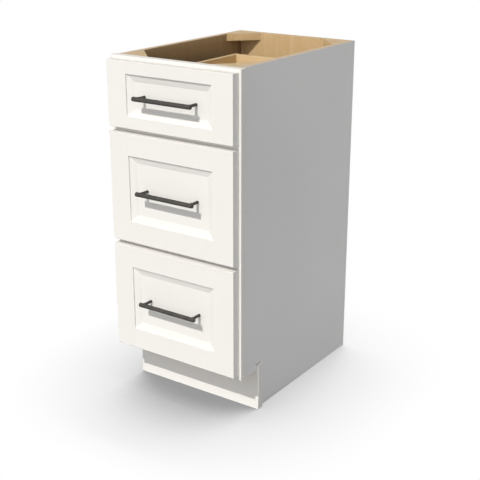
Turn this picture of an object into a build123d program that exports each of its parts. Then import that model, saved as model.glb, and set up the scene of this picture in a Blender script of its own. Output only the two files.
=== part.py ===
"""Vanity drawer base cabinet: a face-frame carcass with three full-extension drawers.

Sizes are in millimetres. X runs across the cabinet, Y from its front to its back and Z up.
The origin lies on the floor, under the middle of the whole cabinet with its pulls.
"""

import os

from build123d import *

# Carcass sizes
cabinet_height = 876.3
cabinet_depth = 533.4
frame_width = 381.0
frame_overhang = 7.9
frame_thickness = 19.0
frame_stile_width = 38.1
frame_rail_height = 38.1
side_thickness = 15.9
floor_thickness = 15.9
back_thickness = 6.4
dado_depth = 6.0
hanging_rail_thickness = 12.7
hanging_rail_height = 76.0
front_block_leg = 76.0
rear_block_leg = 67.5
corner_block_thickness = 19.0
counter_screw_inset = 25.0
counter_screw_radius = 2.5

# Toe space
toe_height = 114.3
toe_depth = 76.2
notch_drop = 6.3
kick_rise = 9.7
kick_thickness = 19.0

# Drawer fronts
front_side_reveal = 6.35
front_thickness = 22.2
front_gap = 12.5
top_reveal = 7.8
bottom_reveal = 13.2
top_front_height = 162.0
front_stile_flat = 58.3
deep_rail_flat = 54.5
top_rail_flat = 29.7
front_edge_radius = 1.2
recess_step = 3.4
bevel_width = 17.5
bevel_depth = 5.4
panel_land = 0.4
panel_thickness = 6.4
panel_tongue = 6.5
panel_clearance = 0.3

# Rubber bumpers between the fronts and the face frame
bumper_space = 1.6
bumper_clearance = 0.2
bumper_radius = 4.5
bumper_inset = 15.0

# Drawer boxes
box_length = 450.0
box_thickness = 12.7
box_floor_gap = 8.0
box_top_gap = 12.7
deep_box_top_gap = 28.0
bottom_thickness = 6.4
bottom_rise = 12.7
bottom_groove = 6.0
box_edge_radius = 1.5

# Ball-bearing slides, three members on each side of a drawer
slide_thickness = 12.7
slide_length = 450.0
slide_setback = 2.0
slide_height = 45.0
slide_steel = 1.2
slide_web_gap = 0.8
slide_flange_gap = 3.0
race_height = 3.4
race_width = 4.5
race_side_gap = 0.4
running_clearance = 0.3

# Rear brackets that carry the slides from the back panel
bracket_steel = 1.5
bracket_height = 40.0
bracket_overlap = 45.0
bracket_side_gap = 3.3

# Bar pulls
pull_spacing = 152.4
pull_overhang = 9.7
pull_bar_radius = 5.5
pull_end_radius = 1.5
pull_stand_off = 33.0
pull_post_radius = 3.6
pull_flare_length = 12.0
pull_flare_inset = 0.2
pull_thread_depth = 11.0

# Screws
pull_screw_radius = 2.0
pull_screw_head_radius = 4.6
pull_screw_head = 2.6
front_screw_radius = 2.0
front_screw_head_radius = 3.2
front_screw_head = 2.6
front_screw_bite = 12.0
front_screw_end_inset = 12.0
screw_clearance = 0.1

# Places across the cabinet
frame_half = frame_width / 2
box_half = frame_half - frame_overhang
side_inner = box_half - side_thickness
opening_half = frame_half - frame_stile_width
drawer_half = opening_half - slide_thickness
drawer_inner = drawer_half - box_thickness
front_width = frame_width - 2 * front_side_reveal
panel_margin = bevel_width - panel_tongue + panel_clearance
panel_half = front_width / 2 - front_stile_flat - panel_margin
front_screw_half = (panel_half + drawer_inner) / 2
pull_bar_length = pull_spacing + 2 * pull_overhang

# Places from front to back, with the pulls' reach counted in the whole depth
recess_depth = recess_step + bevel_depth + panel_land
front_reach = bumper_space + front_thickness
pull_reach = front_reach - recess_depth + pull_stand_off + pull_bar_radius
frame_face = (pull_reach - cabinet_depth) / 2
frame_back = frame_face + frame_thickness
back_face = frame_face + cabinet_depth
kick_face = frame_face + toe_depth
kick_back = kick_face + kick_thickness
hanging_face = back_face - hanging_rail_thickness
back_panel_face = hanging_face - back_thickness
front_back = frame_face - bumper_space
front_face = front_back - front_thickness
panel_face = front_face + recess_depth
panel_back = panel_face + panel_thickness
pull_axis = panel_face - pull_stand_off
box_start = front_back
box_end = box_start + box_length
slide_start = frame_face + slide_setback
slide_end = slide_start + slide_length

# Heights of the toe space, the fronts, the frame rails between them and the drawer openings
notch_height = toe_height - notch_drop
kick_height = toe_height + kick_rise
floor_low = kick_height
deep_front_height = (
    cabinet_height - toe_height - top_reveal - bottom_reveal - 2 * front_gap - top_front_height
) / 2
top_front = (cabinet_height - top_reveal - top_front_height, cabinet_height - top_reveal)
middle_front = (top_front[0] - front_gap - deep_front_height, top_front[0] - front_gap)
bottom_front = (toe_height + bottom_reveal, toe_height + bottom_reveal + deep_front_height)
upper_rail_low = top_front[0] - front_gap / 2 - frame_rail_height / 2
lower_rail_low = middle_front[0] - front_gap / 2 - frame_rail_height / 2
top_opening = (upper_rail_low + frame_rail_height, cabinet_height - frame_rail_height)
middle_opening = (lower_rail_low + frame_rail_height, upper_rail_low)
bottom_opening = (toe_height + frame_rail_height, lower_rail_low)

# Heights of the drawer boxes
top_box_height = top_opening[1] - top_opening[0] - box_floor_gap - box_top_gap
deep_opening = min(middle_opening[1] - middle_opening[0], bottom_opening[1] - bottom_opening[0])
deep_box_height = deep_opening - box_floor_gap - deep_box_top_gap
slide_rise = top_box_height / 2

# Sections of the slides: half heights, and distances in from the face frame's inner edge
cabinet_half_height = slide_height / 2
carriage_half_height = cabinet_half_height - slide_steel - race_height
drawer_half_height = carriage_half_height - slide_steel - race_height
carriage_web = slide_steel + slide_web_gap
flange_toe = slide_thickness - slide_flange_gap
drawer_toe = carriage_web + slide_steel + slide_web_gap

# Each drawer's name, the limits of its front, its flat rail height and the limits of its box
drawers = []
for name, front, rail_flat, opening, box_height in (
    ("top", top_front, top_rail_flat, top_opening, top_box_height),
    ("middle", middle_front, deep_rail_flat, middle_opening, deep_box_height),
    ("bottom", bottom_front, deep_rail_flat, bottom_opening, deep_box_height),
):
    box_low = opening[0] + box_floor_gap
    drawers.append((name, front, rail_flat, (box_low, box_low + box_height)))


def facing(depth):
    """Upright plane at a depth, seen from the front: extruding moves towards the front."""
    return Plane.XZ.offset(-depth)


def board(across, deep, high):
    """Rectangular board between the given limits in X, Y and Z."""
    with BuildPart() as piece:
        with BuildSketch(Plane.XY.offset(high[0])):
            with Locations(((across[0] + across[1]) / 2, (deep[0] + deep[1]) / 2)):
                Rectangle(across[1] - across[0], deep[1] - deep[0])
        extrude(amount=high[1] - high[0])
    return piece.part


def save(part, name):
    """Label a finished piece and write it to its own file."""
    part.label = name
    export_step(part, f"parts/{name}.step")


def side_panel(hand):
    """Side with a toe notch, a housing for the kick board and grooves for floor and back."""
    inner_face = Plane.YZ.offset(hand * side_inner)
    with BuildPart() as panel:
        with BuildSketch(inner_face):
            with BuildLine():
                Polyline(
                    (frame_back, notch_height),
                    (kick_face, notch_height),
                    (kick_face, kick_height),
                    (kick_back, kick_height),
                    (kick_back, 0),
                    (back_face, 0),
                    (back_face, cabinet_height),
                    (frame_back, cabinet_height),
                    close=True,
                )
            make_face()
        extrude(amount=hand * side_thickness)
        with BuildSketch(inner_face):
            with Locations(((frame_back + back_panel_face) / 2, floor_low + floor_thickness / 2)):
                Rectangle(back_panel_face - frame_back, floor_thickness)
            with Locations(((back_panel_face + hanging_face) / 2, cabinet_height / 2)):
                Rectangle(back_thickness, cabinet_height)
        extrude(amount=hand * dado_depth, mode=Mode.SUBTRACT)
    return panel.part


def frame_stile(hand):
    """Upright of the face frame."""
    across = sorted((hand * opening_half, hand * frame_half))
    return board(across, (frame_face, frame_back), (toe_height, cabinet_height))


def frame_rail(low):
    """Crosspiece of the face frame, between the stiles."""
    across = (-opening_half, opening_half)
    return board(across, (frame_face, frame_back), (low, low + frame_rail_height))


def front_frame(front, rail_flat, screw_points):
    """Whole drawer front frame: flat face, small step, sloping bevel and a groove for the panel."""
    low, high = front
    middle = (low + high) / 2
    recess = (front_width - 2 * front_stile_flat, high - low - 2 * rail_flat)
    opening = (recess[0] - 2 * bevel_width, recess[1] - 2 * bevel_width)
    with BuildPart() as frame:
        with BuildSketch(facing(front_back)):
            with Locations((0, middle)):
                Rectangle(front_width, high - low)
        extrude(amount=front_thickness)
        outer_edges = frame.faces().sort_by(Axis.Y)[0].edges()
        fillet(outer_edges, radius=front_edge_radius)
        with BuildSketch(facing(front_face)):
            with Locations((0, middle)):
                Rectangle(*recess)
        extrude(amount=-recess_step, mode=Mode.SUBTRACT)
        with BuildSketch(facing(front_face + recess_step)):
            with Locations((0, middle)):
                Rectangle(*recess)
        with BuildSketch(facing(front_face + recess_step + bevel_depth)):
            with Locations((0, middle)):
                Rectangle(*opening)
        loft(mode=Mode.SUBTRACT)
        with BuildSketch(facing(front_back)):
            with Locations((0, middle)):
                Rectangle(*opening)
        extrude(amount=front_thickness, mode=Mode.SUBTRACT)
        with BuildSketch(facing(panel_back)):
            with Locations((0, middle)):
                Rectangle(opening[0] + 2 * panel_tongue, opening[1] + 2 * panel_tongue)
        extrude(amount=panel_thickness, mode=Mode.SUBTRACT)
        with BuildSketch(facing(front_back)):
            with Locations(*screw_points):
                Circle(front_screw_radius + screw_clearance)
        extrude(amount=front_screw_bite + screw_clearance, mode=Mode.SUBTRACT)
    return frame.part


def front_pieces(front, rail_flat, screw_points):
    """Split a front frame into its stiles and its rails, which are mitred only along the bevel."""
    low, high = front
    flat_half = front_width / 2 - front_stile_flat
    bevel_half = flat_half - bevel_width
    with BuildSketch(facing(front_back)) as rail_outlines:
        for edge, inward in ((high, -1), (low, 1)):
            recess_edge = edge + inward * rail_flat
            panel_edge = recess_edge + inward * bevel_width
            with BuildLine():
                Polyline(
                    (-flat_half, edge),
                    (flat_half, edge),
                    (flat_half, recess_edge),
                    (bevel_half, panel_edge),
                    (-bevel_half, panel_edge),
                    (-flat_half, recess_edge),
                    close=True,
                )
            make_face()
    whole = front_frame(front, rail_flat, screw_points)
    with BuildPart() as rails:
        add(whole)
        extrude(rail_outlines.sketch, amount=front_thickness, mode=Mode.INTERSECT)
    with BuildPart() as stiles:
        add(whole)
        extrude(rail_outlines.sketch, amount=front_thickness, mode=Mode.SUBTRACT)
    return stiles.part, rails.part


def front_panel(front, rail_flat, screw_points):
    """Thin flat panel, held in the groove of the front frame."""
    low, high = front
    tall = high - low - 2 * (rail_flat + panel_margin)
    with BuildPart() as panel:
        with BuildSketch(facing(panel_back)):
            with Locations((0, (low + high) / 2)):
                Rectangle(2 * panel_half, tall)
            with Locations(*screw_points):
                Circle(pull_screw_radius + screw_clearance, mode=Mode.SUBTRACT)
        extrude(amount=panel_thickness)
    return panel.part


def box_side(hand, box):
    """Long side of a drawer box, grooved for the bottom, with its upper edges eased."""
    outer_face = Plane.YZ.offset(hand * drawer_half)
    groove_face = Plane.YZ.offset(hand * drawer_inner)
    with BuildPart() as side:
        with BuildSketch(outer_face):
            with Locations(((box_start + box_end) / 2, (box[0] + box[1]) / 2)):
                Rectangle(box_length, box[1] - box[0])
        extrude(amount=-hand * box_thickness)
        upper_edges = side.faces().sort_by(Axis.Z)[-1].edges().filter_by(Axis.Y)
        fillet(upper_edges, radius=box_edge_radius)
        groove_length = box_length - 2 * (box_thickness - bottom_groove)
        with BuildSketch(groove_face):
            with Locations(((box_start + box_end) / 2, box[0] + bottom_rise + bottom_thickness / 2)):
                Rectangle(groove_length, bottom_thickness)
        extrude(amount=hand * bottom_groove, mode=Mode.SUBTRACT)
    return side.part


def box_end_board(inner_face, outward, box, holes):
    """Front or back of a drawer box, between its sides, with a groove for the bottom and screw holes."""
    with BuildPart() as end:
        with BuildSketch(facing(inner_face)):
            with Locations((0, (box[0] + box[1]) / 2)):
                Rectangle(2 * drawer_inner, box[1] - box[0])
        extrude(amount=outward * box_thickness)
        upper_edges = end.faces().sort_by(Axis.Z)[-1].edges().filter_by(Axis.X)
        fillet(upper_edges, radius=box_edge_radius)
        with BuildSketch(facing(inner_face)):
            with Locations((0, box[0] + bottom_rise + bottom_thickness / 2)):
                Rectangle(2 * drawer_inner, bottom_thickness)
        extrude(amount=outward * bottom_groove, mode=Mode.SUBTRACT)
        for points, radius in holes:
            with BuildSketch(facing(inner_face)):
                with Locations(*points):
                    Circle(radius + screw_clearance)
            extrude(amount=outward * box_thickness, mode=Mode.SUBTRACT)
    return end.part


def bar_pull(posts):
    """Round bar on two posts that widen towards the bar, drilled for the screws."""
    with BuildPart() as pull:
        with BuildSketch(Plane.YZ.offset(-pull_bar_length / 2)):
            with Locations((pull_axis, posts[0][1])):
                Circle(pull_bar_radius)
        extrude(amount=pull_bar_length)
        fillet(pull.edges().filter_by(GeomType.CIRCLE), radius=pull_end_radius)
        for post in posts:
            with BuildSketch(facing(panel_face)):
                with Locations(post):
                    Circle(pull_post_radius)
            extrude(amount=pull_stand_off - pull_flare_length)
            with BuildSketch(facing(pull_axis + pull_flare_length)):
                with Locations(post):
                    Circle(pull_post_radius)
            with BuildSketch(facing(pull_axis)):
                with Locations(post):
                    Circle(pull_bar_radius - pull_flare_inset)
            loft()
        with BuildSketch(facing(panel_face)):
            with Locations(*posts):
                Circle(pull_screw_radius + screw_clearance)
        extrude(amount=pull_thread_depth, mode=Mode.SUBTRACT)
    return pull.part


def screws(points, seat, head_radius, head, radius, length):
    """Round-head screws with their heads on a seat, pointing to the front."""
    with BuildPart() as group:
        with BuildSketch(facing(seat)):
            with Locations(*points):
                Circle(radius)
        extrude(amount=length)
        with BuildSketch(facing(seat)):
            with Locations(*points):
                Circle(head_radius)
        extrude(amount=-head)
    return group.part


def bumpers(front):
    """Four soft discs on the back of a front, over the stiles of the face frame."""
    low, high = front
    across = front_width / 2 - bumper_inset
    corners = [(x, z) for x in (-across, across) for z in (low + bumper_inset, high - bumper_inset)]
    with BuildPart() as discs:
        with BuildSketch(facing(frame_face - bumper_clearance)):
            with Locations(*corners):
                Circle(bumper_radius)
        extrude(amount=bumper_space - bumper_clearance)
    return discs.part


def channel_outline(hand, web, toe, half_height, height):
    """C-shaped section of a slide member: a web and two flanges, measured from the face frame's edge."""
    thick = slide_steel if toe > web else -slide_steel
    points = [
        (web, half_height),
        (toe, half_height),
        (toe, half_height - slide_steel),
        (web + thick, half_height - slide_steel),
    ]
    points += [(inward, -z) for inward, z in reversed(points)]
    with BuildSketch(facing(slide_end)) as outline:
        with BuildLine():
            Polyline(*[(hand * (opening_half - inward), height + z) for inward, z in points], close=True)
        make_face()
    return outline.sketch


def slide_members(heights, web, toe, half_height):
    """Pair of matching slide members, left and right, at each of the given heights."""
    with BuildPart() as members:
        for height in heights:
            for hand in (-1, 1):
                outline = channel_outline(hand, web, toe, half_height, height)
                extrude(outline, amount=slide_length)
    return members.part


def ball_races(height):
    """Bearing strips above and below both flanges of the carriages."""
    race_middle = carriage_web + slide_steel + race_side_gap + race_width / 2
    strip = race_height - running_clearance
    outer = carriage_half_height + strip / 2
    inner = carriage_half_height - slide_steel - strip / 2
    with BuildPart() as races:
        with BuildSketch(facing(slide_end)):
            for hand in (-1, 1):
                for rise in (outer, inner, -inner, -outer):
                    with Locations((hand * (opening_half - race_middle), height + rise)):
                        Rectangle(race_width, strip)
        extrude(amount=slide_length)
    return races.part


def rear_brackets(heights):
    """Angle brackets from the back panel to the outer face of each slide's rear end."""
    arm_start = slide_end - bracket_overlap
    with BuildPart() as brackets:
        for height in heights:
            for hand in (-1, 1):
                inner = hand * opening_half
                arm = hand * (opening_half + bracket_steel)
                foot = hand * (side_inner - bracket_side_gap)
                with BuildSketch(Plane.XY.offset(height - bracket_height / 2)):
                    with BuildLine():
                        Polyline(
                            (inner, arm_start),
                            (arm, arm_start),
                            (arm, back_panel_face - bracket_steel),
                            (foot, back_panel_face - bracket_steel),
                            (foot, back_panel_face),
                            (inner, back_panel_face),
                            close=True,
                        )
                    make_face()
                extrude(amount=bracket_height)
    return brackets.part


def corner_blocks():
    """Four triangular blocks under the countertop, each drilled for a countertop screw."""
    low = cabinet_height - corner_block_thickness
    with BuildPart() as blocks:
        for hand in (-1, 1):
            for wall, inward, leg in (
                (frame_back, 1, front_block_leg),
                (back_panel_face, -1, rear_block_leg),
            ):
                corner = hand * side_inner
                with BuildSketch(Plane.XY.offset(low)):
                    with BuildLine():
                        Polyline(
                            (corner, wall),
                            (corner - hand * leg, wall),
                            (corner, wall + inward * leg),
                            close=True,
                        )
                    make_face()
                    hole = (corner - hand * counter_screw_inset, wall + inward * counter_screw_inset)
                    with Locations(hole):
                        Circle(counter_screw_radius, mode=Mode.SUBTRACT)
                extrude(amount=corner_block_thickness)
    return blocks.part


os.makedirs("parts", exist_ok=True)

# Carcass
save(side_panel(-1), "left_side_panel")
save(side_panel(1), "right_side_panel")
groove_half = side_inner + dado_depth
save(
    board(
        (-groove_half, groove_half),
        (frame_back, back_panel_face),
        (floor_low, floor_low + floor_thickness),
    ),
    "floor_panel",
)
save(
    board((-groove_half, groove_half), (back_panel_face, hanging_face), (0, cabinet_height)),
    "back_panel",
)
save(
    board((-frame_half, frame_half), (kick_face, kick_back), (0, kick_height)),
    "toe_kick_board",
)
with BuildPart() as hanging_rails:
    for low in (floor_low, cabinet_height - hanging_rail_height):
        add(
            board(
                (-side_inner, side_inner),
                (hanging_face, back_face),
                (low, low + hanging_rail_height),
            )
        )
save(hanging_rails.part, "hanging_rails")
save(corner_blocks(), "corner_blocks")

# Face frame
save(frame_stile(-1), "left_frame_stile")
save(frame_stile(1), "right_frame_stile")
save(frame_rail(cabinet_height - frame_rail_height), "top_frame_rail")
save(frame_rail(upper_rail_low), "upper_middle_frame_rail")
save(frame_rail(lower_rail_low), "lower_middle_frame_rail")
save(frame_rail(toe_height), "bottom_frame_rail")

# Fixed parts of the slides
slide_heights = [box[0] + slide_rise for _, _, _, box in drawers]
save(slide_members(slide_heights, 0, flange_toe, cabinet_half_height), "slide_cabinet_members")
save(rear_brackets(slide_heights), "rear_slide_brackets")

# Drawers
for name, front, rail_flat, box in drawers:
    pull_height = (front[0] + front[1]) / 2
    pull_points = [(-pull_spacing / 2, pull_height), (pull_spacing / 2, pull_height)]
    front_screw_inset = rail_flat + bevel_width + front_screw_end_inset
    front_screw_points = [
        (x, z)
        for x in (-front_screw_half, front_screw_half)
        for z in (front[0] + front_screw_inset, front[1] - front_screw_inset)
    ]
    stiles, rails = front_pieces(front, rail_flat, front_screw_points)
    save(stiles, f"{name}_front_stiles")
    save(rails, f"{name}_front_rails")
    save(front_panel(front, rail_flat, pull_points), f"{name}_front_panel")
    save(bumpers(front), f"{name}_front_bumpers")
    save(bar_pull(pull_points), f"{name}_pull")

    box_front_inner = box_start + box_thickness
    box_holes = [(pull_points, pull_screw_radius), (front_screw_points, front_screw_radius)]
    save(box_side(-1, box), f"{name}_box_left_side")
    save(box_side(1, box), f"{name}_box_right_side")
    save(box_end_board(box_front_inner, 1, box, box_holes), f"{name}_box_front")
    save(box_end_board(box_end - box_thickness, -1, box, []), f"{name}_box_back")
    bottom_half = drawer_inner + bottom_groove
    bottom_low = box[0] + bottom_rise
    box_bottom = board(
        (-bottom_half, bottom_half),
        (box_front_inner - bottom_groove, box_end - box_thickness + bottom_groove),
        (bottom_low, bottom_low + bottom_thickness),
    )
    save(box_bottom, f"{name}_box_bottom")

    pull_screw_length = box_front_inner - panel_face + pull_thread_depth - screw_clearance
    pull_screws = screws(
        pull_points,
        box_front_inner,
        pull_screw_head_radius,
        pull_screw_head,
        pull_screw_radius,
        pull_screw_length,
    )
    save(pull_screws, f"{name}_pull_screws")
    front_screws = screws(
        front_screw_points,
        box_front_inner,
        front_screw_head_radius,
        front_screw_head,
        front_screw_radius,
        box_thickness + front_screw_bite,
    )
    save(front_screws, f"{name}_front_screws")

    slide_middle = box[0] + slide_rise
    carriages = slide_members([slide_middle], carriage_web, flange_toe, carriage_half_height)
    save(carriages, f"{name}_slide_carriages")
    save(ball_races(slide_middle), f"{name}_slide_ball_races")
    drawer_members = slide_members([slide_middle], slide_thickness, drawer_toe, drawer_half_height)
    save(drawer_members, f"{name}_slide_drawer_members")
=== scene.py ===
"""Looks of the vanity drawer base cabinet: finishes, fine pieces, light, floor and camera. Metres."""

import math

import bpy
import bmesh
from mathutils import Matrix, Vector


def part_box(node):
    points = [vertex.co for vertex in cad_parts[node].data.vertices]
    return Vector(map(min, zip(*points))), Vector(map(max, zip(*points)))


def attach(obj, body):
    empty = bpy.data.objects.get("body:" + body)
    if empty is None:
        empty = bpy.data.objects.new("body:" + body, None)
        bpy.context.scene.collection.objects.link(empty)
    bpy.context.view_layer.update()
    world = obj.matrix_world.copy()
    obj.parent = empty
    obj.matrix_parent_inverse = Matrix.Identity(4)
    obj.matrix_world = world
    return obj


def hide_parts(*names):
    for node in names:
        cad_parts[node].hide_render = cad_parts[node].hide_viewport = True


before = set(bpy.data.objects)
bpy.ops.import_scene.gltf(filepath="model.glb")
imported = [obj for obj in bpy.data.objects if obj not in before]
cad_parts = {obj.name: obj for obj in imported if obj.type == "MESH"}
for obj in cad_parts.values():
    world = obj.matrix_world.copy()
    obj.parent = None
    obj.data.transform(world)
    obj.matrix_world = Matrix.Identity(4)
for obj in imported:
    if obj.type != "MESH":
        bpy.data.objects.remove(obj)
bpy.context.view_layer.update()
DRAWERS = ("top", "middle", "bottom")
HANDS = ((-1, "left"), (1, "right"))

# Places read from the frame
FRAME_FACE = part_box("left_frame_stile")[0].y
SIDE_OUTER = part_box("right_side_panel")[1].x
SIDE_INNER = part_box("hanging_rails")[1].x

# Colours, as linear reflectance
PAINT_WHITE = (0.86, 0.845, 0.815, 1.0)
PAINT_CLOUD = (0.845, 0.83, 0.80, 1.0)
PAINT_EDGE = (0.83, 0.81, 0.775, 1.0)
LAMINATE_LIGHT = (0.85, 0.845, 0.84, 1.0)
LAMINATE_DARK = (0.83, 0.825, 0.82, 1.0)
MAPLE_LIGHT = (0.64, 0.468, 0.26, 1.0)
MAPLE_DARK = (0.53, 0.37, 0.188, 1.0)
# The side panels' inner maple is darker than the other maple, as painted shade for the inside of the
# cabinet
SHADE_PAINTED_MAPLE_LIGHT = (0.39, 0.277, 0.152, 1.0)
SHADE_PAINTED_MAPLE_DARK = (0.32, 0.218, 0.114, 1.0)
BOX_MAPLE_LIGHT = (0.73, 0.57, 0.35, 1.0)
BOX_MAPLE_DARK = (0.62, 0.455, 0.25, 1.0)
PLY_LIGHT = (0.62, 0.46, 0.28, 1.0)
PLY_DARK = (0.48, 0.335, 0.19, 1.0)
ZINC_LIGHT = (0.62, 0.63, 0.65, 1.0)
ZINC_DARK = (0.48, 0.49, 0.51, 1.0)
STEEL_LIGHT = (0.56, 0.56, 0.57, 1.0)
STEEL_DARK = (0.40, 0.40, 0.41, 1.0)
BRONZE_LIGHT = (0.095, 0.092, 0.086, 1.0)
BRONZE_DARK = (0.069, 0.067, 0.062, 1.0)
BRONZE_RIM = (0.20, 0.195, 0.185, 1.0)
RUBBER_LIGHT = (0.74, 0.74, 0.73, 1.0)
RUBBER_DARK = (0.64, 0.64, 0.63, 1.0)
PLAIN_WHITE = (1.0, 1.0, 1.0, 1.0)

# Noises, with their scale in cells for each metre of the stretched place
PAINT_CLOUD_NOISE = {"scale": 5.0}
PAINT_SCUFF_NOISE = {"scale": 55.0, "detail": 4.0, "roughness": 0.65}
PAINT_PEEL_NOISE = {"scale": 420.0, "detail": 3.0}
MAPLE_FIGURE_NOISE = {"scale": 3.0, "detail": 4.0, "roughness": 0.55, "distortion": 1.2}
MAPLE_PORE_NOISE = {"scale": 9.0, "detail": 3.0, "roughness": 0.6}
LAMINATE_CLOUD_NOISE = {"scale": 4.0}
LAMINATE_FLECK_NOISE = {"scale": 700.0}
METAL_LINE_NOISE = {"scale": 30.0, "detail": 3.0, "roughness": 0.6}
METAL_BLOTCH_NOISE = {"scale": 60.0}
RUBBER_CLOUD_NOISE = {"scale": 400.0}

# Stretches of the place along X, Y and Z, or across and along the grain
EVEN = (1.0, 1.0, 1.0)
FIGURE_STRETCH = (9.0, 0.9)
PORE_STRETCH = (60.0, 2.0)
FLECK_STRETCH = (1.0, 1.0, 0.3)
ZINC_STRETCH = (20.0, 0.5, 20.0)
STEEL_STRETCH = (20.0, 20.0, 20.0)
BRONZE_STRETCH = (1.0, 40.0, 40.0)

# Longest shift of a piece's own pattern, along each axis of the stretched place
PIECE_SHIFT = 40.0

# Levels of a pattern between which a ramp runs
NOISE_MIDDLE = (0.3, 0.7)
NOISE_MOST = (0.2, 0.8)
SCUFF_LEVELS = (0.45, 0.7)
METAL_LEVELS = (0.35, 0.65)
PLY_LEVELS = (0.45, 0.85)
EDGE_MATCH = (0.75, 0.99)

# Roughness, from the low to the high end of each pattern, or in the middle and to each side of it
PAINT_ROUGHNESS = (0.40, 0.50)
MAPLE_ROUGHNESS = (0.42, 0.58)
LAMINATE_ROUGHNESS = (0.40, 0.52)
RUBBER_ROUGHNESS = (0.45, 0.60)
ZINC_ROUGHNESS = 0.38
STEEL_ROUGHNESS = 0.34
BRONZE_ROUGHNESS = 0.46
METAL_SPREAD = 0.06

# Relief, and the radius of the softened edges
PAINT_RELIEF = {"strength": 0.05, "distance": 0.0004}
MAPLE_RELIEF = {"strength": 0.12, "distance": 0.0003}
LAMINATE_RELIEF = {"strength": 0.05, "distance": 0.0003}
METAL_RELIEF = {"strength": 0.08, "distance": 0.0002}
PAINT_EDGE_RADIUS = 0.0003
BOARD_EDGE_RADIUS = 0.0006

# Shares of the patterns that make up a tone, and the build of the side panels
FIGURE_SHARE = 0.7
LINE_SHARE = 0.5
PLY_GRAIN_SHARE = 0.6
PLY_BAND_SHARE = 0.7
PLY_LAYERS = 5
LAMINATE_DEPTH = 0.0005
FACING_SIDEWAYS = 0.5
UPRIGHT = 2

# Sockets of a colour mix node
MIX_FACTOR, MIX_FIRST, MIX_SECOND, MIX_RESULT = 0, 6, 7, 2


def add_node(tree, kind, inputs=None, **settings):
    """New shader node with its settings, and each input set to a value or linked to a socket."""
    made = tree.nodes.new("ShaderNode" + kind)
    for name, value in settings.items():
        setattr(made, name, value)
    for socket, value in (inputs or {}).items():
        if isinstance(value, bpy.types.NodeSocket):
            tree.links.new(value, made.inputs[socket])
        else:
            made.inputs[socket].default_value = value
    return made


def mix_colour(tree, factor, first, second):
    """Colour between two colours or colour sockets."""
    inputs = {MIX_FACTOR: factor, MIX_FIRST: first, MIX_SECOND: second}
    return add_node(tree, "Mix", inputs, data_type="RGBA").outputs[MIX_RESULT]


def math_node(tree, operation, *values):
    """Result of a math node on values or sockets."""
    return add_node(tree, "Math", dict(enumerate(values)), operation=operation).outputs[0]


def weigh(tree, first, first_share, second, second_share):
    """Sum of two values, each times its share."""
    rest = math_node(tree, "MULTIPLY", second, second_share)
    return math_node(tree, "MULTIPLY_ADD", first, first_share, rest)


def ramp(tree, factor, levels, ends=(0.0, 1.0)):
    """Value that goes from one end to the other as the factor goes between two levels."""
    inputs = {
        "Value": factor,
        "From Min": levels[0],
        "From Max": levels[1],
        "To Min": ends[0],
        "To Max": ends[1],
    }
    return add_node(tree, "MapRange", inputs, clamp=True).outputs["Result"]


def noise(tree, place, scale, detail=2.0, roughness=0.5, distortion=0.0):
    """Noise from 0 to 1 at a place, with its scale in cells for each metre."""
    inputs = {
        "Vector": place,
        "Scale": scale,
        "Detail": detail,
        "Roughness": roughness,
        "Distortion": distortion,
    }
    return add_node(tree, "TexNoise", inputs).outputs["Fac"]


def stretched(tree, stretch):
    """Place on the object, with each axis multiplied by its factor."""
    place = add_node(tree, "TexCoord").outputs["Object"]
    return add_node(tree, "Mapping", {"Vector": place, "Scale": stretch}).outputs["Vector"]


def own_place(tree, stretch):
    """Stretched place, shifted by a step of its own for each piece, so that boards differ."""
    step = add_node(tree, "ObjectInfo").outputs["Random"]
    shift = math_node(tree, "MULTIPLY", step, PIECE_SHIFT)
    shift_vector = add_node(tree, "CombineXYZ", {axis: shift for axis in "XYZ"}).outputs[0]
    return add_node(tree, "VectorMath", {0: stretched(tree, stretch), 1: shift_vector}).outputs[0]


def soft_edge(tree, radius):
    """Normal that turns smoothly over the edges of a board."""
    return add_node(tree, "Bevel", {"Radius": radius}, samples=6).outputs["Normal"]


def true_normal(tree):
    """Normal of the face itself, without softening or relief."""
    return add_node(tree, "NewGeometry").outputs["True Normal"]


def edge_share(tree, normal):
    """1 at the edges where a soft normal leaves the true one, and 0 on the flats."""
    inputs = {0: normal, 1: true_normal(tree)}
    match = add_node(tree, "VectorMath", inputs, operation="DOT_PRODUCT").outputs["Value"]
    return ramp(tree, match, EDGE_MATCH, (1.0, 0.0))


def size_in_x(tree, vector):
    """Size of the X part of a vector, whatever its sign."""
    return math_node(tree, "ABSOLUTE", add_node(tree, "SeparateXYZ", {"Vector": vector}).outputs["X"])


def new_material(name, **sockets):
    """Material with a principled shader whose even sockets are set directly."""
    material = bpy.data.materials.new(name)
    material.use_nodes = True
    shader = material.node_tree.nodes["Principled BSDF"]
    for socket, value in sockets.items():
        shader.inputs[socket.replace("_", " ")].default_value = value
    return material, material.node_tree, shader


def link_finish(tree, shader, colour, roughness):
    """Feed a shader's colour and roughness from its pattern nodes."""
    tree.links.new(colour, shader.inputs["Base Color"])
    tree.links.new(roughness, shader.inputs["Roughness"])


def add_bump(tree, shader, height, strength, distance, normal=None):
    """Fine relief on a shader, over its own normal or a soft one."""
    inputs = {"Height": height, "Strength": strength, "Distance": distance}
    if normal is not None:
        inputs["Normal"] = normal
    tree.links.new(add_node(tree, "Bump", inputs).outputs["Normal"], shader.inputs["Normal"])


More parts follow.
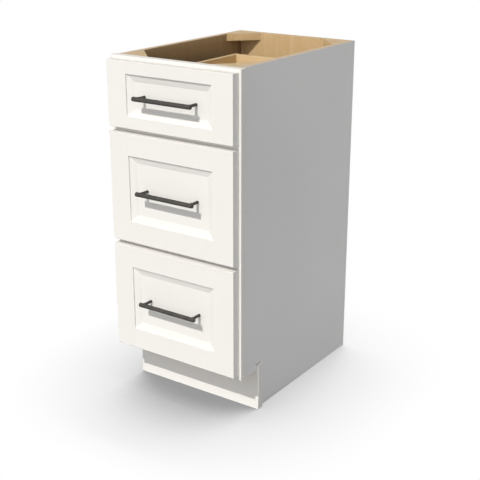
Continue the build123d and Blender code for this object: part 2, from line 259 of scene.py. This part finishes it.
def paint_material():
    """Satin white paint, with a faint orange peel and slightly worn edges."""
    material, tree, shader = new_material("white_paint", Specular_IOR_Level=0.2)
    place = own_place(tree, EVEN)
    cloud = ramp(tree, noise(tree, place, **PAINT_CLOUD_NOISE), NOISE_MIDDLE)
    normal = soft_edge(tree, PAINT_EDGE_RADIUS)
    scuff = ramp(tree, noise(tree, place, **PAINT_SCUFF_NOISE), SCUFF_LEVELS)
    wear = math_node(tree, "MULTIPLY", edge_share(tree, normal), scuff)
    colour = mix_colour(tree, wear, mix_colour(tree, cloud, PAINT_WHITE, PAINT_CLOUD), PAINT_EDGE)
    peel = noise(tree, place, **PAINT_PEEL_NOISE)
    link_finish(tree, shader, colour, ramp(tree, peel, NOISE_MOST, PAINT_ROUGHNESS))
    add_bump(tree, shader, peel, normal=normal, **PAINT_RELIEF)
    return material


def grain_stretch(axis, across, along):
    """Stretch that draws a pattern out along the axis of the grain."""
    return [along if index == axis else across for index in range(3)]


def maple_colour(tree, axis, light, dark):
    """Colour and grain height of clear-finished maple, with its grain along one axis."""
    figure_place = own_place(tree, grain_stretch(axis, *FIGURE_STRETCH))
    figure = noise(tree, figure_place, **MAPLE_FIGURE_NOISE)
    pore_place = own_place(tree, grain_stretch(axis, *PORE_STRETCH))
    pores = noise(tree, pore_place, **MAPLE_PORE_NOISE)
    grain = weigh(tree, figure, FIGURE_SHARE, pores, 1.0 - FIGURE_SHARE)
    return mix_colour(tree, ramp(tree, grain, NOISE_MIDDLE), light, dark), grain


def maple_material(name, axis, light, dark):
    """Maple veneer or board with its grain along one axis."""
    material, tree, shader = new_material(f"{name}_{'xyz'[axis]}", Specular_IOR_Level=0.3)
    colour, grain = maple_colour(tree, axis, light, dark)
    link_finish(tree, shader, colour, ramp(tree, grain, NOISE_MOST, MAPLE_ROUGHNESS))
    add_bump(tree, shader, grain, normal=soft_edge(tree, BOARD_EDGE_RADIUS), **MAPLE_RELIEF)
    return material


def side_material():
    """Side panel: a white skin on the outer face, maple darkened as painted shade on the inner face, and
    plies on the edges.
    """
    material, tree, shader = new_material("side_board")
    # Inner-face maple in the darker side colours: painted shade
    shade_painted_wood, grain = maple_colour(tree, UPRIGHT, SHADE_PAINTED_MAPLE_LIGHT, SHADE_PAINTED_MAPLE_DARK)
    place = add_node(tree, "TexCoord").outputs["Object"]
    across = size_in_x(tree, place)
    layer = ramp(tree, across, (SIDE_INNER, SIDE_OUTER), (0.0, PLY_LAYERS))
    band = math_node(tree, "PINGPONG", layer, 1.0)
    rough_band = weigh(tree, grain, PLY_GRAIN_SHARE, band, PLY_BAND_SHARE)
    plies = mix_colour(tree, ramp(tree, rough_band, PLY_LEVELS), PLY_LIGHT, PLY_DARK)
    sideways = math_node(tree, "GREATER_THAN", size_in_x(tree, true_normal(tree)), FACING_SIDEWAYS)
    board = mix_colour(tree, sideways, plies, shade_painted_wood)
    fleck = noise(tree, stretched(tree, FLECK_STRETCH), **LAMINATE_FLECK_NOISE)
    cloud = ramp(tree, noise(tree, place, **LAMINATE_CLOUD_NOISE), NOISE_MIDDLE)
    laminate = mix_colour(tree, cloud, LAMINATE_LIGHT, LAMINATE_DARK)
    skin = math_node(tree, "GREATER_THAN", across, SIDE_OUTER - LAMINATE_DEPTH)
    colour = mix_colour(tree, skin, board, laminate)
    link_finish(tree, shader, colour, ramp(tree, fleck, NOISE_MOST, LAMINATE_ROUGHNESS))
    add_bump(tree, shader, fleck, normal=soft_edge(tree, BOARD_EDGE_RADIUS), **LAMINATE_RELIEF)
    return material


def metal_material(name, light, dark, rough, stretch, **sockets):
    """Metal with soft blotches and fine marks, drawn out along any axis with a smaller factor."""
    material, tree, shader = new_material(name, **sockets)
    lines = noise(tree, stretched(tree, stretch), **METAL_LINE_NOISE)
    blotch = noise(tree, stretched(tree, EVEN), **METAL_BLOTCH_NOISE)
    tone = weigh(tree, lines, LINE_SHARE, blotch, 1.0 - LINE_SHARE)
    colour = mix_colour(tree, ramp(tree, tone, METAL_LEVELS), light, dark)
    roughness = ramp(tree, tone, NOISE_MIDDLE, (rough - METAL_SPREAD, rough + METAL_SPREAD))
    link_finish(tree, shader, colour, roughness)
    add_bump(tree, shader, lines, **METAL_RELIEF)
    return material


def rubber_material():
    """Soft pale rubber, a little cloudy."""
    material, tree, shader = new_material("bumper_rubber")
    cloud = noise(tree, stretched(tree, EVEN), **RUBBER_CLOUD_NOISE)
    colour = mix_colour(tree, cloud, RUBBER_LIGHT, RUBBER_DARK)
    link_finish(tree, shader, colour, ramp(tree, cloud, NOISE_MOST, RUBBER_ROUGHNESS))
    return material


paint = paint_material()
maple = [maple_material("maple", axis, MAPLE_LIGHT, MAPLE_DARK) for axis in range(3)]
box_maple = [maple_material("box_maple", axis, BOX_MAPLE_LIGHT, BOX_MAPLE_DARK) for axis in range(2)]
side_board = side_material()
zinc = metal_material("zinc_steel", ZINC_LIGHT, ZINC_DARK, ZINC_ROUGHNESS, ZINC_STRETCH, Metallic=1.0)
steel = metal_material("screw_steel", STEEL_LIGHT, STEEL_DARK, STEEL_ROUGHNESS, STEEL_STRETCH, Metallic=1.0)
bronze = metal_material(
    "dark_metal",
    BRONZE_LIGHT,
    BRONZE_DARK,
    BRONZE_ROUGHNESS,
    BRONZE_STRETCH,
    Metallic=0.1,
    Specular_IOR_Level=0.0,
    Specular_Tint=BRONZE_RIM,
)
rubber = rubber_material()

# Finish of each node; the ones that aren't named here are painted
ALONG_X, ALONG_Y, ALONG_Z = maple
BOX_ALONG_X, BOX_ALONG_Y = box_maple
FINISHES = {
    "left_side_panel": side_board,
    "right_side_panel": side_board,
    "floor_panel": ALONG_Y,
    "back_panel": ALONG_Z,
    "hanging_rails": ALONG_X,
    "corner_blocks": ALONG_X,
    "slide_cabinet_members": zinc,
    "rear_slide_brackets": zinc,
}
DRAWER_FINISHES = {
    "front_bumpers": rubber,
    "pull": bronze,
    "box_left_side": BOX_ALONG_Y,
    "box_right_side": BOX_ALONG_Y,
    "box_front": BOX_ALONG_X,
    "box_back": BOX_ALONG_X,
    "box_bottom": BOX_ALONG_Y,
    "pull_screws": steel,
    "front_screws": steel,
    "slide_drawer_members": zinc,
    "slide_carriages": zinc,
    "slide_ball_races": steel,
}
for drawer in DRAWERS:
    FINISHES.update({f"{drawer}_{piece}": finish for piece, finish in DRAWER_FINISHES.items()})
for name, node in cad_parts.items():
    node.data.materials.clear()
    node.data.materials.append(FINISHES.get(name, paint))

# Fine pieces: how round and smooth they are, and how they are turned from the Z axis
SEGMENTS = 20
SMOOTH_ANGLE = math.radians(35)
TO_BACK = Matrix.Rotation(-math.pi / 2, 4, "X")
TO_SIDE = {hand: Matrix.Rotation(hand * math.pi / 2, 4, "Y") for hand, _ in HANDS}

# Sizes of the screws that the nodes' boxes don't tell
SCREW_RADIUS = 0.0020
SCREW_HEAD = 0.0026
FRONT_SCREW_HEAD_RADIUS = 0.0032
FRONT_SCREW_PITCH = 0.0018
PULL_SCREW_HEAD_RADIUS = 0.0046
PULL_SCREW_PITCH = 0.0012
SLIDE_SCREW_HEAD_RADIUS = 0.0032
SLIDE_SCREW_HEAD = 0.0018
SLIDE_SCREW_LENGTH = 0.010
SLIDE_SCREW_INSET = 0.038
WOOD_TIP = 0.006
MACHINE_TIP = 0.001
PLACE_DIGITS = 6

# Shapes as shares of a radius and of a height: heads, cross recess, thread and domed buttons
PAN_PROFILE = ((1.0, 0.0), (1.0, 0.35), (0.93, 0.75), (0.76, 1.0))
DOME_PROFILE = ((1.0, 0.0), (1.0, 0.25), (0.93, 0.62), (0.72, 0.88), (0.40, 0.98), (0.12, 1.0))
RECESS_MOUTH = (0.56, 0.13)
RECESS_PIT = (0.40, 0.09)
RECESS_FLOOR = 0.25
THREAD_ROOT = 0.78
THREAD_ROWS = 3
TIP_SHARE = 0.12

# Sizes of the bumpers, ball cages and release levers that the nodes' boxes don't tell
BUMPER_RADIUS = 0.0045
SLIDE_STEEL = 0.0012
RACE_WIDTH = 0.0045
RACE_HEIGHT = 0.0031
BALL_RADIUS = 0.0015
BALL_PITCH = 0.0225
CAGE_RAIL = 0.0005
CAGE_HEIGHT = 0.0012
CAGE_RUNG = 2 * CAGE_HEIGHT
LEVER_REACH = 0.060
LEVER_PIVOT = 0.0055
LEVER_ARM = 0.0026
LEVER_TAB = 0.0085
LEVER_TIP = 0.0045
LEVER_THICK = 0.0022
LEVER_AHEAD = 0.030
LEVER_ARC = (math.radians(40), math.radians(320))
RIVET_RADIUS = 0.0030
RIVET_HEIGHT = 0.0010


def ring(mesh, reaches, height):
    """Ring of points around the Z axis at a height, each with its own reach."""
    points = []
    for index, reach in enumerate(reaches):
        angle = 2 * math.pi * index / len(reaches)
        points.append(mesh.verts.new((reach * math.cos(angle), reach * math.sin(angle), height)))
    return points


def profile_rings(mesh, profile, radius, height):
    """Round rings around the Z axis that follow a profile."""
    return [ring(mesh, [across * radius] * SEGMENTS, up * height) for across, up in profile]


def join_rings(mesh, lower, upper):
    """Band of faces between two rings with as many points."""
    count = len(lower)
    for index in range(count):
        after = (index + 1) % count
        mesh.faces.new((lower[index], lower[after], upper[after], upper[index]))


def join_stack(mesh, rings):
    """Bands of faces through a stack of rings, and a face that closes the first one."""
    mesh.faces.new(list(reversed(rings[0])))
    for lower, upper in zip(rings, rings[1:]):
        join_rings(mesh, lower, upper)


def loop_edges(mesh, points):
    """Edges around a closed row of points."""
    return [mesh.edges.get(pair) or mesh.edges.new(pair) for pair in zip(points, points[1:] + points[:1])]


def cross_points(mesh, shares, radius, height):
    """Outline of a cross recess, from its arms' reach and half width as shares of a radius."""
    reach, half_width = (share * radius for share in shares)
    quarter = [(reach, -half_width), (reach, half_width), (half_width, half_width)]
    points = []
    for turn in range(4):
        spin = Matrix.Rotation(turn * math.pi / 2, 3, "Z")
        points += [mesh.verts.new(spin @ Vector((x, y, height))) for x, y in quarter]
    return points


def thread_reaches(radius, turns):
    """Reaches around a thread after some turns: the radius at its crest, and less at its root."""
    reaches = []
    for index in range(SEGMENTS):
        crest = 0.5 + 0.5 * math.cos(2 * math.pi * (turns + index / SEGMENTS))
        reaches.append(radius * (THREAD_ROOT + (1.0 - THREAD_ROOT) * crest))
    return reaches


def screw_mesh(head_radius, head, length, pitch, tip):
    """Pan-head screw along Z: its seat at zero, its cross recess on top and its thread below."""
    mesh = bmesh.new()
    rows = max(2, round(THREAD_ROWS * length / pitch))
    rings = []
    for row in range(rows, -1, -1):
        depth = length * row / rows
        taper = min(1.0, TIP_SHARE + (length - depth) / tip)
        rings.append(ring(mesh, thread_reaches(taper * SCREW_RADIUS, depth / pitch), -depth))
    rings += profile_rings(mesh, PAN_PROFILE, head_radius, head)
    join_stack(mesh, rings)
    mouth = cross_points(mesh, RECESS_MOUTH, head_radius, head)
    pit = cross_points(mesh, RECESS_PIT, head_radius, RECESS_FLOOR * head)
    join_rings(mesh, list(reversed(mouth)), list(reversed(pit)))
    mesh.faces.new(pit)
    edges = loop_edges(mesh, rings[-1]) + loop_edges(mesh, mouth)
    bmesh.ops.triangle_fill(mesh, use_beauty=True, use_dissolve=False, edges=edges)
    bmesh.ops.recalc_face_normals(mesh, faces=mesh.faces[:])
    return mesh


def dome_mesh(radius, height):
    """Round button along Z with a domed top."""
    mesh = bmesh.new()
    rings = profile_rings(mesh, DOME_PROFILE, radius, height)
    join_stack(mesh, rings)
    mesh.faces.new(rings[-1])
    return mesh


def copy_into(mesh, source, matrix, material=0):
    """Add a moved copy of one mesh to another, in the material of the given number."""
    made = [mesh.verts.new(matrix @ point.co) for point in source.verts]
    source.verts.index_update()
    for face in source.faces:
        mesh.faces.new([made[point.index] for point in face.verts]).material_index = material


def add_bar(mesh, low, high):
    """Straight bar between two corners."""
    size = Vector(high) - Vector(low)
    middle = (Vector(high) + Vector(low)) / 2
    place = Matrix.Translation(middle) @ Matrix.Diagonal((*size, 1.0))
    bmesh.ops.create_cube(mesh, size=1.0, matrix=place)


def add_piece(name, mesh, materials, body, replaced=()):
    """Finished fine piece that rides on a body and may stand for a node."""
    data = bpy.data.meshes.new(name)
    mesh.to_mesh(data)
    mesh.free()
    data.shade_smooth()
    data.set_sharp_from_angle(angle=SMOOTH_ANGLE)
    for material in materials:
        data.materials.append(material)
    piece = bpy.data.objects.new(name, data)
    bpy.context.scene.collection.objects.link(piece)
    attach(piece, body)
    if replaced:
        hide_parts(*replaced)


def add_screws(name, screw, places, turn, body, replaced=()):
    """Group of equal screws at the given seats."""
    mesh = bmesh.new()
    for place in places:
        copy_into(mesh, screw, Matrix.Translation(place) @ turn)
    add_piece(name, mesh, [steel], body, replaced)


def add_drawer_screws(drawer):
    """Screws that hold the front and the pull, with their heads inside the drawer box."""
    for kind, head_radius, pitch, tip in (
        ("front_screws", FRONT_SCREW_HEAD_RADIUS, FRONT_SCREW_PITCH, WOOD_TIP),
        ("pull_screws", PULL_SCREW_HEAD_RADIUS, PULL_SCREW_PITCH, MACHINE_TIP),
    ):
        node = f"{drawer}_{kind}"
        low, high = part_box(node)
        seat = high.y - SCREW_HEAD
        columns = (low.x + head_radius, high.x - head_radius)
        # The pull's screws are level, so their two heights are one
        heights = sorted({round(z, PLACE_DIGITS) for z in (low.z + head_radius, high.z - head_radius)})
        places = [Vector((x, seat, z)) for x in columns for z in heights]
        screw = screw_mesh(head_radius, SCREW_HEAD, seat - low.y, pitch, tip)
        add_screws(f"{node}_fine", screw, places, TO_BACK, f"{drawer}_drawer", [node])
        screw.free()


def add_bumpers(drawer):
    """Domed rubber bumpers on the back of a front."""
    node = f"{drawer}_front_bumpers"
    low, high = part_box(node)
    dome = dome_mesh(BUMPER_RADIUS, high.y - low.y)
    mesh = bmesh.new()
    for x in (low.x + BUMPER_RADIUS, high.x - BUMPER_RADIUS):
        for z in (low.z + BUMPER_RADIUS, high.z - BUMPER_RADIUS):
            copy_into(mesh, dome, Matrix.Translation((x, low.y, z)) @ TO_BACK)
    dome.free()
    add_piece(f"{drawer}_bumper_domes", mesh, [rubber], f"{drawer}_drawer", [node])


def add_cage(mesh, ball, x, z, front, back):
    """Ladder-shaped cage from front to back: two rails, with rungs and balls between them."""
    low, high = z - CAGE_HEIGHT / 2, z + CAGE_HEIGHT / 2
    edge = RACE_WIDTH / 2
    inside = edge - CAGE_RAIL
    for left, right in ((x - edge, x - inside), (x + inside, x + edge)):
        add_bar(mesh, (left, front, low), (right, back, high))
    for index in range(round((back - front) / BALL_PITCH)):
        start = front + index * BALL_PITCH
        add_bar(mesh, (x - inside, start, low), (x + inside, start + CAGE_RUNG, high))
        place = Vector((x, start + (BALL_PITCH + CAGE_RUNG) / 2, z))
        copy_into(mesh, ball, Matrix.Translation(place), material=1)


def add_ball_cages(drawer):
    """Rows of steel balls in their cages, above and below the flanges of the carriages."""
    node = f"{drawer}_slide_ball_races"
    low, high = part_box(node)
    middle = (low.z + high.z) / 2
    outer = (high.z - low.z - RACE_HEIGHT) / 2
    inner = outer - RACE_HEIGHT - SLIDE_STEEL
    ball = bmesh.new()
    bmesh.ops.create_icosphere(ball, subdivisions=2, radius=BALL_RADIUS)
    mesh = bmesh.new()
    for x in (low.x + RACE_WIDTH / 2, high.x - RACE_WIDTH / 2):
        for rise in (outer, inner, -inner, -outer):
            add_cage(mesh, ball, x, middle + rise, low.y, high.y)
    ball.free()
    add_piece(f"{drawer}_ball_cages", mesh, [zinc, steel], f"{drawer}_carriages", [node])


def member_web(drawer):
    """Distance from the middle of a drawer to the outer faces of its inner slide members' webs."""
    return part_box(f"{drawer}_box_right_side")[1].x + SLIDE_STEEL


def add_slide_screws(drawer):
    """Pan-head screws that hold the inner slide members to the sides of a drawer box."""
    low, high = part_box(f"{drawer}_slide_drawer_members")
    web = member_web(drawer)
    rows = (low.y + SLIDE_SCREW_INSET, (low.y + high.y) / 2, high.y - SLIDE_SCREW_INSET)
    head = (SLIDE_SCREW_HEAD_RADIUS, SLIDE_SCREW_HEAD)
    screw = screw_mesh(*head, SLIDE_SCREW_LENGTH, FRONT_SCREW_PITCH, WOOD_TIP)
    for hand, word in HANDS:
        places = [Vector((hand * web, y, (low.z + high.z) / 2)) for y in rows]
        add_screws(f"{drawer}_{word}_slide_screws", screw, places, TO_SIDE[hand], f"{drawer}_drawer")
    screw.free()


def lever_outline():
    """Outline of a release lever: forward and up from the middle of its round pivot."""
    first, last = LEVER_ARC
    turns = [first + (last - first) * step / SEGMENTS for step in range(SEGMENTS + 1)]
    pivot = [(LEVER_PIVOT * math.cos(turn), LEVER_PIVOT * math.sin(turn)) for turn in turns]
    tip = [(LEVER_REACH, -LEVER_ARM), (LEVER_REACH, LEVER_TAB)]
    return pivot + tip + [(LEVER_REACH - LEVER_TIP, LEVER_TAB), (LEVER_REACH - LEVER_TIP, LEVER_ARM)]


def add_release_levers(drawer):
    """Riveted levers on the inner slide members, which free the drawer from its slides."""
    low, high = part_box(f"{drawer}_slide_drawer_members")
    web = member_web(drawer)
    pivot = Vector((0.0, (low.y + high.y) / 2 - LEVER_AHEAD, (low.z + high.z) / 2))
    rivet = dome_mesh(RIVET_RADIUS, RIVET_HEIGHT)
    for hand, word in HANDS:
        mesh = bmesh.new()
        layers = []
        for away in (web, web + LEVER_THICK):
            places = [pivot + Vector((hand * away, -ahead, rise)) for ahead, rise in lever_outline()]
            layers.append([mesh.verts.new(place) for place in places])
        join_rings(mesh, *layers)
        for layer in layers:
            mesh.faces.new(layer)
        seat = pivot + Vector((hand * (web + LEVER_THICK), 0.0, 0.0))
        copy_into(mesh, rivet, Matrix.Translation(seat) @ TO_SIDE[hand], material=1)
        bmesh.ops.recalc_face_normals(mesh, faces=mesh.faces[:])
        name = f"{drawer}_{word}_release_lever"
        add_piece(name, mesh, [bronze, steel], f"{drawer}_drawer")
    rivet.free()


for drawer in DRAWERS:
    add_release_levers(drawer)
    add_drawer_screws(drawer)
    add_bumpers(drawer)
    add_ball_cages(drawer)
    add_slide_screws(drawer)

# Floor, pale and even, with a painted shadow around the foot of the cabinet
FLOOR_HALF = 12.0
FLOOR_CORNERS = ((-1, -1), (1, -1), (1, 1), (-1, 1))
FLOOR_BOUNCE = (0.395, 0.405, 0.42, 1.0)
SHADOW_REACH = 0.35
SHADOW_LEAN = (0.0, 0.35, 0.94)

# Painted shadow near the cabinet and further out: levels of openness, and the glow that they add
CLOSE_SHADE = ((0.23, 0.70), (0.32, 0.83))
WIDE_SHADE = ((0.70, 1.0), (0.0, 0.17))


def seen_directly(tree):
    """1 for rays from the camera, off gloss or through glass, and 0 for the light on the object."""
    path = add_node(tree, "LightPath")
    seen = math_node(tree, "MAXIMUM", path.outputs["Is Camera Ray"], path.outputs["Is Glossy Ray"])
    return math_node(tree, "MAXIMUM", seen, path.outputs["Is Transmission Ray"])


def split_shader(tree, lighting, seen):
    """Shader that lights the object with one node and is seen as another."""
    inputs = {0: seen_directly(tree), 1: lighting.outputs[0], 2: seen.outputs[0]}
    return add_node(tree, "MixShader", inputs).outputs[0]


def floor_material():
    """White floor, seen as a glow darkened into a painted shadow where the cabinet is near, and lit as a
    plain matte floor.
    """
    material = bpy.data.materials.new("pale_floor")
    material.use_nodes = True
    tree = material.node_tree
    tree.nodes.clear()
    lean = add_node(tree, "CombineXYZ", dict(zip("XYZ", SHADOW_LEAN))).outputs[0]
    reach = {"Distance": SHADOW_REACH, "Normal": lean}
    open_share = add_node(tree, "AmbientOcclusion", reach, samples=16).outputs["AO"]
    # Glow strength dimmed by the openness near the cabinet: painted shadow
    light = math_node(tree, "ADD", *[ramp(tree, open_share, *shade) for shade in (CLOSE_SHADE, WIDE_SHADE)])
    painted_shadow_glow = add_node(tree, "Emission", {"Color": PLAIN_WHITE, "Strength": light})
    matte = add_node(tree, "BsdfDiffuse", {"Color": FLOOR_BOUNCE})
    add_node(tree, "OutputMaterial", {"Surface": split_shader(tree, matte, painted_shadow_glow)})
    return material


floor_mesh = bpy.data.meshes.new("floor")
floor_points = [(FLOOR_HALF * x, FLOOR_HALF * y, 0.0) for x, y in FLOOR_CORNERS]
floor_mesh.from_pydata(floor_points, [], [(0, 1, 2, 3)])
floor_mesh.materials.append(floor_material())
floor = bpy.data.objects.new("floor", floor_mesh)
bpy.context.scene.collection.objects.link(floor)

# Light: a warm key from the front and above, low even fills around the cabinet and a dim sky
KEY_DIRECTION = (-0.02, 1.0, -1.03)
KEY_STRENGTH = 2.51
KEY_COLOUR = (1.0, 0.965, 0.925)
KEY_ANGLE = math.radians(1.0)
FRONT_FILL = 1.75
FRONT_FILL_ANGLE = math.radians(100)
BACK_FILL = 1.3
SIDE_FILL = 0.47
NARROW_FILL_ANGLE = math.radians(5)
FILL_DROP = -0.02
SKY_STRENGTH = 0.10


def add_sun(name, direction, strength, angle, colour=(1.0, 1.0, 1.0)):
    """Distant lamp that shines along a direction, as wide in the sky as the angle."""
    lamp = bpy.data.lights.new(name, "SUN")
    lamp.energy = strength
    lamp.angle = angle
    lamp.color = colour
    holder = bpy.data.objects.new(name, lamp)
    holder.rotation_mode = "QUATERNION"
    holder.rotation_quaternion = Vector(direction).to_track_quat("-Z", "Y")
    bpy.context.scene.collection.objects.link(holder)


add_sun("key", KEY_DIRECTION, KEY_STRENGTH, KEY_ANGLE, KEY_COLOUR)
add_sun("front_fill", (0.0, 1.0, FILL_DROP), FRONT_FILL, FRONT_FILL_ANGLE)
add_sun("back_fill", (0.0, -1.0, FILL_DROP), BACK_FILL, NARROW_FILL_ANGLE)
add_sun("right_fill", (-1.0, 0.0, FILL_DROP), SIDE_FILL, NARROW_FILL_ANGLE)
add_sun("left_fill", (1.0, 0.0, FILL_DROP), SIDE_FILL, NARROW_FILL_ANGLE)

world = bpy.data.worlds.new("studio")
bpy.context.scene.world = world
world.use_nodes = True
sky_tree = world.node_tree
sky_tree.nodes.clear()
sky = add_node(sky_tree, "Background", {"Color": PLAIN_WHITE, "Strength": SKY_STRENGTH})
backdrop = add_node(sky_tree, "Background", {"Color": PLAIN_WHITE, "Strength": 1.0})
add_node(sky_tree, "OutputWorld", {"Surface": split_shader(sky_tree, sky, backdrop)})

# Camera, where the photo was taken from, with its depths measured from the face frame
CAMERA_PLACE = Vector((1.40995, FRAME_FACE - 1.76378, 1.24181))
CAMERA_TARGET = Vector((0.00206, FRAME_FACE + 0.26670, 0.36413))
CAMERA_LENS = 73.42
CAMERA_SENSOR = 36.0

camera = bpy.data.cameras.new("camera")
camera.lens = CAMERA_LENS
camera.sensor_width = CAMERA_SENSOR
camera_object = bpy.data.objects.new("camera", camera)
camera_object.location = CAMERA_PLACE
camera_object.rotation_mode = "QUATERNION"
camera_object.rotation_quaternion = (CAMERA_TARGET - CAMERA_PLACE).to_track_quat("-Z", "Y")
bpy.context.scene.collection.objects.link(camera_object)
bpy.context.scene.camera = camera_object
bpy.context.scene.view_settings.view_transform = "Standard"
